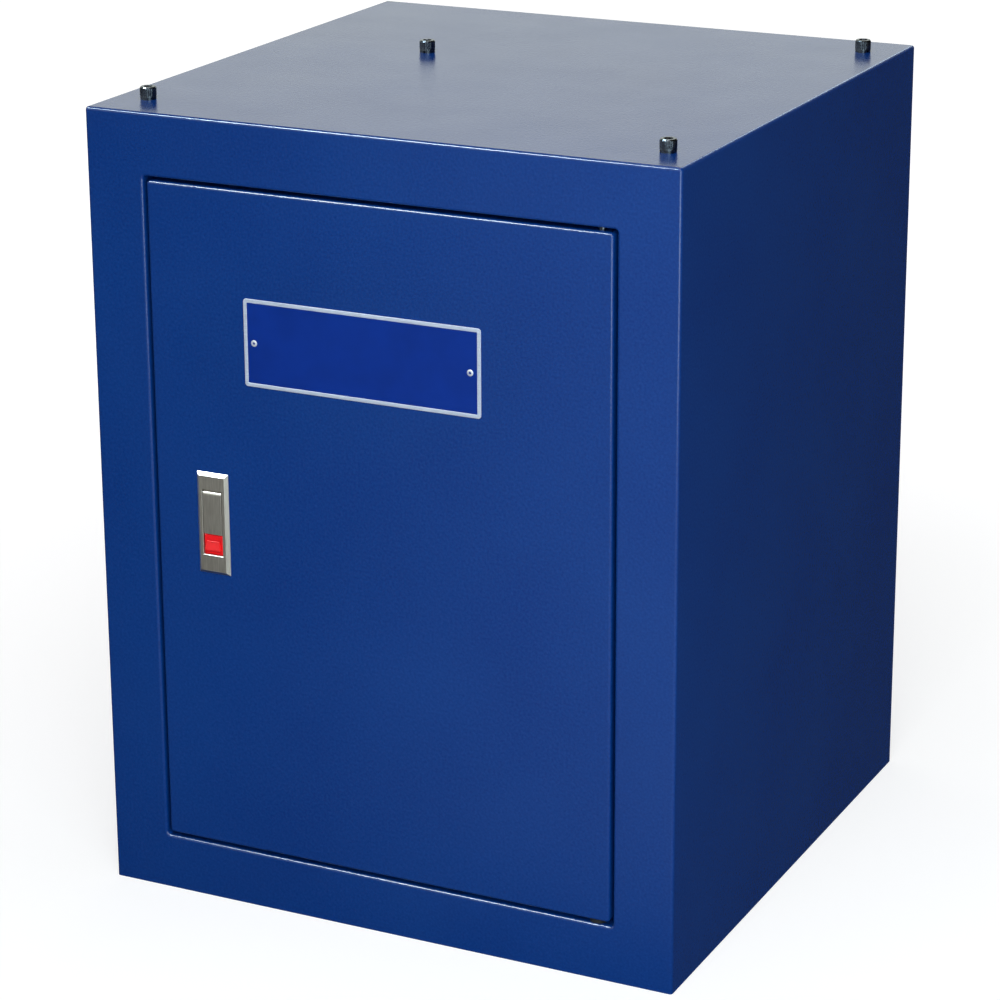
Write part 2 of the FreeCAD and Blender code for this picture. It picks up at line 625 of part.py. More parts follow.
def release_button():
    """Push button with a bevelled rim, a tapered thumb wedge and a spring stem."""
    half_x = WINDOW_WIDTH / 2 - BUTTON_GAP
    z1 = BUTTON_Z0 + BUTTON_HEIGHT
    cap = block(LATCH_X - half_x, LATCH_X + half_x, BUTTON_FRONT, BUTTON_BACK, BUTTON_Z0, z1)
    rim = [edge for edge in cap.Edges if edge.BoundBox.YMax < BUTTON_FRONT + NEAR]
    cap = cap.makeChamfer(BUTTON_BEVEL, rim)
    foot_x = half_x - BUTTON_WEDGE_MARGIN
    top_x = foot_x - BUTTON_WEDGE_TAPER
    wedge = Part.makeWedge(-foot_x, 0, -BUTTON_BEVEL, -BUTTON_BEVEL, -top_x,
                           foot_x, BUTTON_WEDGE_HEIGHT, BUTTON_WEDGE_RISE, BUTTON_WEDGE_STEP, top_x)
    wedge.rotate(V(0, 0, 0), V(1, 0, 0), 90)
    wedge.translate(V(LATCH_X, BUTTON_FRONT, BUTTON_Z0 + BUTTON_WEDGE_BASE))
    stem = y_rod(BUTTON_STEM_R, LATCH_X, BUTTON_MID_Z, BUTTON_BACK, BUTTON_BACK + BUTTON_STEM_LENGTH)
    return cap.fuse([wedge, stem]).removeSplitter()


def button_spring():
    """Coil spring between the button and the back wall of the housing."""
    start = BUTTON_BACK + SPRING_END_GAP + SPRING_WIRE_R
    rise = WINDOW_BACK - SPRING_END_GAP - SPRING_WIRE_R - start
    path = Part.makeHelix(rise / SPRING_TURNS, rise, SPRING_R)
    section = Part.Wire(Part.makeCircle(SPRING_WIRE_R, V(SPRING_R, 0, 0), V(0, 1, 0)))
    coil = Part.Wire(path).makePipeShell([section], True, True)
    coil.rotate(V(0, 0, 0), V(1, 0, 0), -90)
    coil.translate(V(LATCH_X, start, BUTTON_MID_Z))
    return coil


def cam_rod(radius, y0, y1):
    """Round bar on the axis of the cam shaft."""
    return y_rod(radius, LATCH_X, CAM_AXIS_Z, y0, y1)


def cam_square(flats, y0, y1):
    """Square bar on the axis of the cam shaft."""
    return polygon_bar(4, flats, V(LATCH_X, y0, CAM_AXIS_Z), V(LATCH_X, y1, CAM_AXIS_Z))


def cam_shaft():
    """Headed shaft: journal in the housing, square for the cam, thread for the nut."""
    thread_end = CAM_BACK + CAM_WASHER_THICKNESS + CAM_NUT_THICKNESS + CAM_THREAD_SPARE
    head = cam_rod(SHAFT_HEAD_R, WINDOW_BACK - SHAFT_HEAD_LENGTH, WINDOW_BACK)
    journal = cam_rod(SHAFT_R, WINDOW_BACK, CAM_FRONT)
    square = cam_square(SQUARE_FLATS, CAM_FRONT, CAM_BACK)
    thread = cam_rod(CAM_THREAD_R, CAM_BACK, thread_end)
    return head.fuse([journal, square, thread]).removeSplitter()


def latch_cam():
    """Flat cam that hangs down when the latch is open."""
    half = CAM_WIDTH / 2
    tip_z = CAM_AXIS_Z - CAM_LENGTH
    cam = block(LATCH_X - half, LATCH_X + half, CAM_FRONT, CAM_BACK, tip_z, CAM_AXIS_Z)
    cam = cam.fuse(cam_rod(half, CAM_FRONT, CAM_BACK)).removeSplitter()
    return cam.cut(cam_square(SQUARE_FLATS + 2 * SQUARE_FIT, CAM_FRONT - OVERCUT, CAM_BACK + OVERCUT))


def cam_washer():
    """Washer between the cam and its nut."""
    end = CAM_BACK + CAM_WASHER_THICKNESS
    return cam_rod(CAM_WASHER_R, CAM_BACK, end).cut(cam_rod(CAM_THREAD_R + THREAD_FIT, CAM_BACK, end))


def cam_nut():
    """Hexagonal nut at the end of the shaft."""
    start = CAM_BACK + CAM_WASHER_THICKNESS
    end = start + CAM_NUT_THICKNESS
    nut = polygon_bar(6, CAM_NUT_FLATS, V(LATCH_X, start, CAM_AXIS_Z), V(LATCH_X, end, CAM_AXIS_Z))
    return nut.cut(cam_rod(CAM_THREAD_R + THREAD_FIT, start, end))


def build():
    """Every piece of the stand by its node name."""
    shell = folded_shell()
    inner_y = BACK - BEND_R
    nodes = {
        "front_frame": front_frame(shell),
        "side_panel_left": wall(shell, -REACH, 0, -inner_y, inner_y),
        "side_panel_right": wall(shell, 0, REACH, -inner_y, inner_y),
        "back_panel": wall(shell, -REACH, REACH, inner_y, REACH),
        "top_panel": top_panel(shell),
        "floor_pan": floor_pan(),
        "top_rail_front": top_rail(TOP_SCREWS[0].y),
        "top_rail_middle": top_rail(TOP_SCREWS[3].y),
        "top_rail_rear": top_rail(TOP_SCREWS[2].y),
        "top_weld_nuts": Part.makeCompound([weld_nut(place) for place in TOP_SCREWS]),
        "top_lock_washers": Part.makeCompound([lock_washer(place) for place in TOP_SCREWS]),
        "top_cap_screws": Part.makeCompound([cap_screw(place) for place in TOP_SCREWS]),
        "door_stop_angle": door_stop(),
        "door_seal_strip": door_seal(),
        "hinge_thrust_washer": thrust_washer(),
        "door_panel": door_panel(),
        "door_stiffener_upper": door_stiffener(DOOR_Z1 - STIFFENER_TOP_INSET),
        "door_stiffener_lower": door_stiffener(DOOR_Z0 + STIFFENER_BOTTOM_INSET),
        "nameplate": nameplate(),
        "nameplate_rivets": Part.makeCompound([plate_rivet(x) for x in rivet_places()]),
        "latch_housing": latch_housing(),
        "latch_clamp_plate": latch_clamp_plate(),
        "latch_stud_nuts": Part.makeCompound([stud_nut(z) for z in stud_levels()]),
        "handle_pivot_pin": handle_cross_rod(HANDLE_PIN_R, LATCH_BODY_WIDTH / 2 - HANDLE_PIN_END_GAP),
        "latch_handle": latch_handle(),
        "release_button": release_button(),
        "button_spring": button_spring(),
        "cam_shaft": cam_shaft(),
        "latch_cam": latch_cam(),
        "cam_washer": cam_washer(),
        "cam_nut": cam_nut(),
    }
    for name, outward, jamb_z in (("upper", 1, OPENING_Z1), ("lower", -1, OPENING_Z0)):
        nodes["hinge_pin_" + name] = hinge_pin(outward, jamb_z)
        nodes["hinge_boss_" + name] = frame_boss(outward, jamb_z)
        nodes["door_bush_" + name] = door_bush(outward, jamb_z)
    return nodes


os.makedirs("parts", exist_ok=True)
for node_name, node_shape in build().items():
    node_shape.exportStep(os.path.join("parts", node_name + ".step"))
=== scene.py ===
"""Looks of the machine stand cabinet: coats, metals, plastics and small turned pieces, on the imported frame.

Lengths are metres, in the cabinet's own frame: +Z up, the door faces -Y, the origin is the middle of the
footprint on the floor. Sizes that are given in millimetres are multiplied by MM.
"""
import json
from math import cos, pi, radians, sin, sqrt

import bmesh
import bpy
from mathutils import Matrix, Vector


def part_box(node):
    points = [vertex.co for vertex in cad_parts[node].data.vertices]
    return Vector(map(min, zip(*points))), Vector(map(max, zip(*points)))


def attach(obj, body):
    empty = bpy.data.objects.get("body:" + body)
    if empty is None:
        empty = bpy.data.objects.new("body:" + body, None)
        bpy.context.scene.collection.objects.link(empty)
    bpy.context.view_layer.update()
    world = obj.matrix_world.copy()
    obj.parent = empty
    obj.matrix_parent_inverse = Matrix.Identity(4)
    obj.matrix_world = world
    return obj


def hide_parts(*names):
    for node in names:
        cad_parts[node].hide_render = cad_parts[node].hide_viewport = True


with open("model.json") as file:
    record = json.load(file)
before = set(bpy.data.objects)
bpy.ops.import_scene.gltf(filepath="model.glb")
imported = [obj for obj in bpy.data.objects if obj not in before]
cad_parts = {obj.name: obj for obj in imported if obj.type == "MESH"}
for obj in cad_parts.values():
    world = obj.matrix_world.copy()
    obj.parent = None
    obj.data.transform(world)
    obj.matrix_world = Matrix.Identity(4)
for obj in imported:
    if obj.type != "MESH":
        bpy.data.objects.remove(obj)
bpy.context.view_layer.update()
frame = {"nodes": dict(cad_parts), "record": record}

MM = 0.001
SAME_POINT = 0.002 * MM         # corners of a CAD node closer than this are one
FLAT_UNDER = radians(0.5)       # triangles that meet at less than this are one flat face
SMOOTH_UNDER = radians(32)      # faces that meet at less than this are one round surface

# sizes of the pieces that are made here, in millimetres
PLATE_BORDER = 3.0              # raised bare rim of the nameplate
PLATE_FIELD_DEPTH = 0.25        # etched field, below the rim
PLATE_CORNER_R = 2.5
PLATE_INNER_CORNER_R = 0.4      # least radius in a corner of the field
PLATE_EDGE_R = 0.22             # round of the rim's edges
PLATE_WALL_LEAN = 0.02          # how far the wall of the etched field leans in
SCREW_R = 4.0
SCREW_PITCH = 1.25
SCREW_THREAD_DEPTH = 0.7
SCREW_HEAD_CHAMFER = 0.8
SCREW_KNURL_TEETH = 36          # a count
SCREW_KNURL_DEPTH = 0.16
SOCKET_FLATS = 6.0
SOCKET_DEPTH = 4.0
SOCKET_MOUTH = 0.35             # countersink round the corners of the socket
OVERCUT = 0.02                  # how far a cutting shape stands out of the face that it opens
WASHER_HOLE_R = 4.2
WASHER_GAP = 1.0
COAT_EDGE = 0.3                 # round that the powder coat leaves on a cut edge
RIVET_R = 1.6
RIVET_BORE_R = 1.1
RIVET_BORE_DEPTH = 2.0
RIVET_RIM = 0.3                 # upright rim under the dome of the head

# how finely the round pieces are divided
KNURL_POINTS = 4.0              # points on each tooth
THREAD_RINGS = 8.0              # rings on each turn
SHANK_POINTS = 24
ROUND_POINTS = 48
BORE_POINTS = 32
COIL_POINTS = 72
SCREW_SEED = 7                  # seeds of the chance turns of the screws and of their washers
WASHER_SEED = 3


# ---------------------------------------------------------------- nodes and colours

def add(tree, kind, inputs=(), **settings):
    """Adds a node. inputs maps a socket's name or number to a value, to a socket or to a list of sockets."""
    made = tree.nodes.new(kind)
    for name, value in settings.items():
        setattr(made, name, value)
    for key, value in dict(inputs).items():
        sources = value if isinstance(value, list) else [value]
        for source in sources:
            if isinstance(source, bpy.types.NodeSocket):
                tree.links.new(source, made.inputs[key])
            else:
                made.inputs[key].default_value = source
    return made


def hex_colour(text):
    """An sRGB colour such as 1A3B7E as linear red, green and blue, with an alpha of 1."""
    levels = [int(text[i:i + 2], 16) / 255 for i in (0, 2, 4)]
    return tuple(v / 12.92 if v <= 0.04045 else ((v + 0.055) / 1.055) ** 2.4 for v in levels) + (1.0,)


def per_metre(size):
    """Scale of a pattern on Object coordinates whose features are this many millimetres apart."""
    return 1 / (size * MM)


# ---------------------------------------------------------------- materials

NOISE_LOW = 0.3                 # nearly all of a noise lies between these two
NOISE_HIGH = 0.7

# the powder coat, with its sizes in millimetres
CLOUD_SIZE = 140.0              # broad clouds in the tone, and their share of it
CLOUD_SHARE = 0.3
GRAIN_SIZE = 2.0                # fine grain in the tone, and its share
GRAIN_SHARE = 0.6
SHEET_WAVE = 160.0              # the sheet under the coat is never quite flat
SHEET_WAVE_HEIGHT = 0.03
PEEL_SIZE = 2.4                 # orange peel
PEEL_HEIGHT = 0.046
SHEEN_SIZE = 60.0
SHEEN_ROUGHNESS = (0.22, 0.24)

FOAM_PORE = 0.9                 # in millimetres
FOAM_PORE_DEPTH = 0.15


def new_material(name):
    """An empty node material, and its tree."""
    made = bpy.data.materials.new(name)
    made.use_nodes = True
    made.node_tree.nodes.clear()
    return made, made.node_tree


def wander(tree, place, size, low, high, stretch=(1, 1, 1), detail=2.0):
    """A value that wanders from low to high, in spots this many millimetres wide."""
    stretched = add(tree, "ShaderNodeMapping", {"Vector": place, "Scale": stretch})
    spots = add(tree, "ShaderNodeTexNoise", {"Vector": stretched.outputs[0], "Scale": per_metre(size),
                                             "Detail": detail})
    return add(tree, "ShaderNodeMapRange", {
        "Value": spots.outputs[0], "From Min": NOISE_LOW, "From Max": NOISE_HIGH,
        "To Min": low, "To Max": high}).outputs[0]


def surfaced(name, tones, tone_size, roughness, rough_size, relief, stretch=(1, 1, 1), **constants):
    """A material in two close tones, with a wandering roughness and a relief of (size, height)."""
    made, tree = new_material(name)
    place = add(tree, "ShaderNodeTexCoord").outputs["Object"]
    tone = wander(tree, place, tone_size, 0.0, 1.0, stretch)
    colour = add(tree, "ShaderNodeMix", {0: tone, 6: hex_colour(tones[0]), 7: hex_colour(tones[1])},
                 data_type="RGBA").outputs[2]
    rough = wander(tree, place, rough_size, *roughness, stretch)
    height = wander(tree, place, relief[0], 0.0, 1.0, stretch)
    normal = add(tree, "ShaderNodeBump", {"Height": height, "Distance": relief[1] * MM}).outputs[0]
    inputs = {"Base Color": colour, "Roughness": rough, "Normal": normal}
    inputs.update({key.replace("_", " "): value for key, value in constants.items()})
    shader = add(tree, "ShaderNodeBsdfPrincipled", inputs)
    add(tree, "ShaderNodeOutputMaterial", {"Surface": shader.outputs[0]})
    return made


def blue_powder_coat():
    """Baked polyester powder coat on sheet steel: semi-gloss, with a fine orange peel."""
    made, tree = new_material("semi_gloss_blue_powder_coat")
    place = add(tree, "ShaderNodeTexCoord").outputs["Object"]
    cloud = wander(tree, place, CLOUD_SIZE, 0.0, CLOUD_SHARE, detail=3.0)
    grain = wander(tree, place, GRAIN_SIZE, 0.0, GRAIN_SHARE, detail=2.0)
    tone = add(tree, "ShaderNodeMath", {0: cloud, 1: grain}, operation="ADD").outputs[0]
    colour = add(tree, "ShaderNodeMix", {0: tone, 6: hex_colour("002D74"), 7: hex_colour("0D3D85")},
                 data_type="RGBA").outputs[2]
    sheet = wander(tree, place, SHEET_WAVE, 0.0, 1.0, detail=1.0)
    sheet_normal = add(tree, "ShaderNodeBump", {
        "Height": sheet, "Distance": SHEET_WAVE_HEIGHT * MM}).outputs[0]
    peel = wander(tree, place, PEEL_SIZE, 0.0, 1.0, detail=1.0)
    peel_normal = add(tree, "ShaderNodeBump", {
        "Height": peel, "Distance": PEEL_HEIGHT * MM, "Normal": sheet_normal}).outputs[0]
    shader = add(tree, "ShaderNodeBsdfPrincipled", {
        "Base Color": colour, "Roughness": wander(tree, place, SHEEN_SIZE, *SHEEN_ROUGHNESS), "IOR": 1.54,
        "Normal": peel_normal})
    add(tree, "ShaderNodeOutputMaterial", {"Surface": shader.outputs[0]})
    return made


def foam_rubber():
    """Closed-cell neoprene foam strip: charcoal and matt, with small pores in its skin."""
    made, tree = new_material("closed_cell_neoprene_foam")
    place = add(tree, "ShaderNodeTexCoord").outputs["Object"]
    pores = add(tree, "ShaderNodeTexVoronoi", {
        "Vector": place, "Scale": per_metre(FOAM_PORE)}).outputs["Distance"]
    colour = add(tree, "ShaderNodeMix", {0: pores, 6: hex_colour("1B1C1E"), 7: hex_colour("333438")},
                 data_type="RGBA").outputs[2]
    normal = add(tree, "ShaderNodeBump", {"Height": pores, "Distance": FOAM_PORE_DEPTH * MM}).outputs[0]
    shader = add(tree, "ShaderNodeBsdfPrincipled", {
        "Base Color": colour, "Roughness": wander(tree, place, 4.0, 0.75, 0.9), "IOR": 1.5, "Normal": normal})
    add(tree, "ShaderNodeOutputMaterial", {"Surface": shader.outputs[0]})
    return made


ALONG_X = (0.06, 1, 1)          # stretches that turn spots into lines along an axis, or into rings round it
ALONG_Z = (1, 1, 0.06)
ROUND_Z = (0.06, 0.06, 1)

# each: name, two tones and their size, roughness and its size, (size, height) of the relief; in millimetres
finishes = {
    "cabinet_paint": blue_powder_coat(),
    # hot alkaline blackening on alloy steel, oiled: near black with a soft metal sheen
    "black_oxide": surfaced("black_oxide_alloy_steel", ("42464C", "5E646C"), 1.8, (0.2, 0.3), 1.8,
                            (0.5, 0.006), Metallic=1.0),
    # bright zinc plate, passivated: cold silver with a faint straw bloom
    "zinc_steel": surfaced("bright_zinc_plated_steel", ("BCC1C9", "D0CEC4"), 4.0, (0.26, 0.42), 1.2,
                           (0.7, 0.006), Metallic=1.0),
    # drawn and ground steel: darker than zinc, with fine lines along the pin
    "bare_steel": surfaced("ground_bare_steel", ("A5A6A9", "BCBDBF"), 0.3, (0.22, 0.36), 0.3,
                           (0.3, 0.004), ALONG_X, Metallic=1.0),
    # nickel plate on a die casting, brushed upright: warm grey with fine lines
    "satin_nickel": surfaced("satin_nickel_die_casting", ("C9C1B8", "DED7CE"), 0.7, (0.35, 0.44), 0.5,
                             (0.5, 0.006), ALONG_Z, Metallic=1.0),
    # satin anodised aluminium sheet: its pale skin scatters light as paint does; fine lines from rolling
    "plate_enamel": surfaced("satin_anodised_aluminium", ("BAC2D8", "CCD4E6"), 0.45, (0.42, 0.52), 0.45,
                             (0.45, 0.004), ALONG_X, Metallic=0.3),
    # soft aluminium upset by the rivet tool: bright and smooth
    "rivet_aluminium": surfaced("upset_rivet_aluminium", ("D8DAE4", "ECEDF4"), 1.0, (0.3, 0.4), 0.8,
                                (0.5, 0.004), Metallic=0.5),
    # free-cutting brass from the lathe: yellow, with fine rings round the axis
    "brass": surfaced("turned_brass", ("C9A45A", "DDBB72"), 0.35, (0.22, 0.36), 0.35,
                      (0.35, 0.006), ROUND_Z, Metallic=1.0),
    # moulded nylon 6: dull, with a slight grain from the mould
    "nylon": surfaced("black_moulded_nylon", ("0A0B0F", "101218"), 3.0, (0.55, 0.68), 3.0, (0.5, 0.008),
                      IOR=1.53),
    "foam_rubber": foam_rubber(),
    # moulded ABS, dyed through: a clear warm red with a fine grain from the spark-eroded mould
    "red_plastic": surfaced("red_moulded_abs", ("E8000C", "F5101A"), 6.0, (0.3, 0.4), 0.6, (0.35, 0.005),
                            IOR=1.54),
}
# stoving enamel in the etched field of the plate: a clear deep blue, smooth, pooled a little unevenly
enamel = surfaced("deep_blue_stoving_enamel", ("00297F", "012D88"), 26.0, (0.28, 0.34), 5.0, (2.2, 0.003),
                  IOR=1.36)

slot_of = {part["node"]: part["material_slot"] for part in frame["record"]["subparts"]}
body_of = {node: body for body, nodes in frame["record"]["behaviour"]["bodies"].items() for node in nodes}
for name, piece in frame["nodes"].items():
    piece.data.materials.clear()
    piece.data.materials.append(finishes[slot_of[name]])


# ---------------------------------------------------------------- pieces from meshes

def smooth(mesh):
    """Round surfaces are shaded round; edges sharper than SMOOTH_UNDER stay sharp."""
    for face in mesh.polygons:
        face.use_smooth = True
    mesh.set_sharp_from_angle(angle=SMOOTH_UNDER)


def placed(name, mesh, node):
    """Makes a finished mesh a piece that stands for a CAD node, on that node's body and in its finish."""
    mesh.name = name
    piece = bpy.data.objects.new(name, mesh)
    bpy.context.scene.collection.objects.link(piece)
    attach(piece, body_of[node])
    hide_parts(node)
    return piece


def evaluated_mesh(piece):
    """The mesh of an object with its modifiers worked in; the object itself is removed."""
    bpy.context.view_layer.update()
    graph = bpy.context.evaluated_depsgraph_get()
    mesh = bpy.data.meshes.new_from_object(piece.evaluated_get(graph))
    bpy.data.objects.remove(piece)
    return mesh


def merged(node):
    """A copy of a CAD node's mesh with its loose triangles joined into closed shells."""
    form = bmesh.new()
    form.from_mesh(frame["nodes"][node].data)
    bmesh.ops.remove_doubles(form, verts=form.verts, dist=SAME_POINT)
    return form


def dressed(node, name, edge=0.0):
    """A CAD node's own shape with smooth bends, and its sharp edges rounded by this many millimetres."""
    form = merged(node)
    bmesh.ops.dissolve_limit(form, angle_limit=FLAT_UNDER, verts=form.verts, edges=form.edges)
    mesh = bpy.data.meshes.new(name)
    form.to_mesh(mesh)
    form.free()
    mesh.materials.append(finishes[slot_of[node]])
    smooth(mesh)
    carrier = bpy.data.objects.new(name + "_carrier", mesh)
    bpy.context.scene.collection.objects.link(carrier)
    if edge:
        bevel = carrier.modifiers.new("rounded_edges", "BEVEL")
        bevel.width, bevel.segments, bevel.limit_method = edge * MM, 2, "ANGLE"
        bevel.angle_limit, bevel.use_clamp_overlap, bevel.harden_normals = SMOOTH_UNDER, True, False
    weigh = carrier.modifiers.new("flat_faces_stay_flat", "WEIGHTED_NORMAL")
    weigh.keep_sharp = True
    return placed(name, evaluated_mesh(carrier), node)


def rounded_rectangle(half_x, half_z, radius, steps=6):
    """Points round a rectangle with rounded corners, anticlockwise with x to the right and z up."""
    points = []
    for corner, (side_x, side_z) in enumerate(((1, 1), (-1, 1), (-1, -1), (1, -1))):
        for step in range(steps + 1):
            turn = (corner + step / steps) * pi / 2
            points.append((side_x * (half_x - radius) + radius * cos(turn),
                           side_z * (half_z - radius) + radius * sin(turn)))
    return points


def quarter(radius, steps=3):
    """How far in a rounded edge has come, and how far below its top, at each step from side to top."""
    turns = [step / steps * pi / 2 for step in range(steps + 1)]
    return [(radius * (1 - cos(turn)), radius * (1 - sin(turn))) for turn in turns]


def nameplate():
    """The blank plate: rolled aluminium with a raised bare rim, and blue enamel in the etched field."""
    low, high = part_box("nameplate")
    middle = (low + high) / 2
    half_x, half_z = (high.x - low.x) / 2, (high.z - low.z) / 2
    face = low.y
    field = face + PLATE_FIELD_DEPTH * MM
    levels = [(0.0, high.y)]                                    # (inset from the outline, y) of each ring
    levels += [(inset, face + drop) for inset, drop in quarter(PLATE_EDGE_R * MM)]
    border = (PLATE_BORDER - PLATE_EDGE_R) * MM
    levels += [(border + PLATE_EDGE_R * MM * sin(turn), face + PLATE_EDGE_R * MM * (1 - cos(turn)))
               for turn in (0.0, pi / 6, pi / 3, pi / 2)]
    levels += [((PLATE_BORDER + PLATE_WALL_LEAN) * MM, field)]
    form = bmesh.new()
    rings = []
    for inset, y in levels:
        corner_r = max(PLATE_CORNER_R * MM - inset, PLATE_INNER_CORNER_R * MM)
        outline = rounded_rectangle(half_x - inset, half_z - inset, corner_r)
        rings.append([form.verts.new((middle.x + x, y, middle.z + z)) for x, z in outline])
    for outer, inner in zip(rings, rings[1:]):
        for i in range(len(outer)):
            j = (i + 1) % len(outer)
            form.faces.new((outer[i], outer[j], inner[j], inner[i]))
    form.faces.new(rings[0])
    form.faces.new(rings[-1]).material_index = 1
    bmesh.ops.recalc_face_normals(form, faces=form.faces)
    mesh = bpy.data.meshes.new("nameplate_blank")
    form.to_mesh(mesh)
    form.free()
    mesh.materials.append(finishes["plate_enamel"])
    mesh.materials.append(enamel)
    smooth(mesh)
    return placed("nameplate_blank", mesh, "nameplate")


# ---------------------------------------------------------------- pieces from Geometry Nodes

def new_tree(name, sizes):
    """A Geometry Nodes tree with a number input for each named size; gives back the tree and its inputs."""
    tree = bpy.data.node_groups.new(name, "GeometryNodeTree")
    tree.interface.new_socket("Places", in_out="INPUT", socket_type="NodeSocketGeometry")
    tree.interface.new_socket("Finish", in_out="INPUT", socket_type="NodeSocketMaterial")
    for label in sizes:
        tree.interface.new_socket(label, in_out="INPUT", socket_type="NodeSocketFloat")
    tree.interface.new_socket("Pieces", in_out="OUTPUT", socket_type="NodeSocketGeometry")
    return tree, add(tree, "NodeGroupInput").outputs


def put_on_places(tree, given, piece, rotation):
    """Ends a tree: a copy of the piece on each place, made real and in its finish."""
    copies = add(tree, "GeometryNodeInstanceOnPoints", {"Points": given["Places"], "Instance": piece,
                                                        "Rotation": rotation})
    real = add(tree, "GeometryNodeRealizeInstances", {"Geometry": copies.outputs[0]})
    finished = add(tree, "GeometryNodeSetMaterial", {
        "Geometry": real.outputs[0], "Material": given["Finish"]})
    add(tree, "NodeGroupOutput", {"Pieces": finished.outputs[0]})


def grown(name, tree, places, node, sizes):
    """Runs a tree on one vertex for each place, with its sizes in metres, as a piece for a CAD node."""
    mesh = bpy.data.meshes.new(name + "_places")
    mesh.from_pydata(places, [], [])
    carrier = bpy.data.objects.new(name + "_carrier", mesh)
    bpy.context.scene.collection.objects.link(carrier)
    modifier = carrier.modifiers.new("grow", "NODES")
    modifier.node_group = tree
    for item in tree.interface.items_tree:
        if item.name == "Finish":
            modifier[item.identifier] = finishes[slot_of[node]]
        elif item.name in sizes:
            modifier[item.identifier] = float(sizes[item.name])
    grown_mesh = evaluated_mesh(carrier)
    for face in grown_mesh.polygons:            # the shapes' own empty slot goes
        face.material_index = 0
    grown_mesh.materials.clear()
    grown_mesh.materials.append(finishes[slot_of[node]])
    smooth(grown_mesh)
    return placed(name, grown_mesh, node)


def solids_of(node):
    """The lowest and highest corner of each separate solid in a CAD node."""
    form = merged(node)
    waiting = set(form.verts)
    boxes = []
    while waiting:
        edge_of_search = [waiting.pop()]
        found = list(edge_of_search)
        while edge_of_search:
            here = edge_of_search.pop()
            reached = {edge.other_vert(here) for edge in here.link_edges} & waiting
            waiting -= reached
            edge_of_search += reached
            found += reached
        spots = [v.co for v in found]
        boxes.append((Vector([min(p[i] for p in spots) for i in range(3)]),
                      Vector([max(p[i] for p in spots) for i in range(3)])))
    form.free()
    return sorted(boxes, key=lambda box: tuple(box[0]))


def radial_move(tree, shape, change, radius):
    """Moves the skin of an upright round shape out or in by a field, in the shape's own units."""
    at = add(tree, "ShaderNodeSeparateXYZ", {0: add(tree, "GeometryNodeInputPosition").outputs[0]})
    share = add(tree, "ShaderNodeMath", {0: change, 1: radius}, operation="DIVIDE")
    scale = add(tree, "ShaderNodeMath", {0: share.outputs[0], 1: 1.0}, operation="ADD").outputs[0]
    x = add(tree, "ShaderNodeMath", {0: at.outputs[0], 1: scale}, operation="MULTIPLY")
    y = add(tree, "ShaderNodeMath", {0: at.outputs[1], 1: scale}, operation="MULTIPLY")
    to = add(tree, "ShaderNodeCombineXYZ", {0: x.outputs[0], 1: y.outputs[0], 2: at.outputs[2]})
    return add(tree, "GeometryNodeSetPosition", {"Geometry": shape, "Position": to.outputs[0]}).outputs[0]


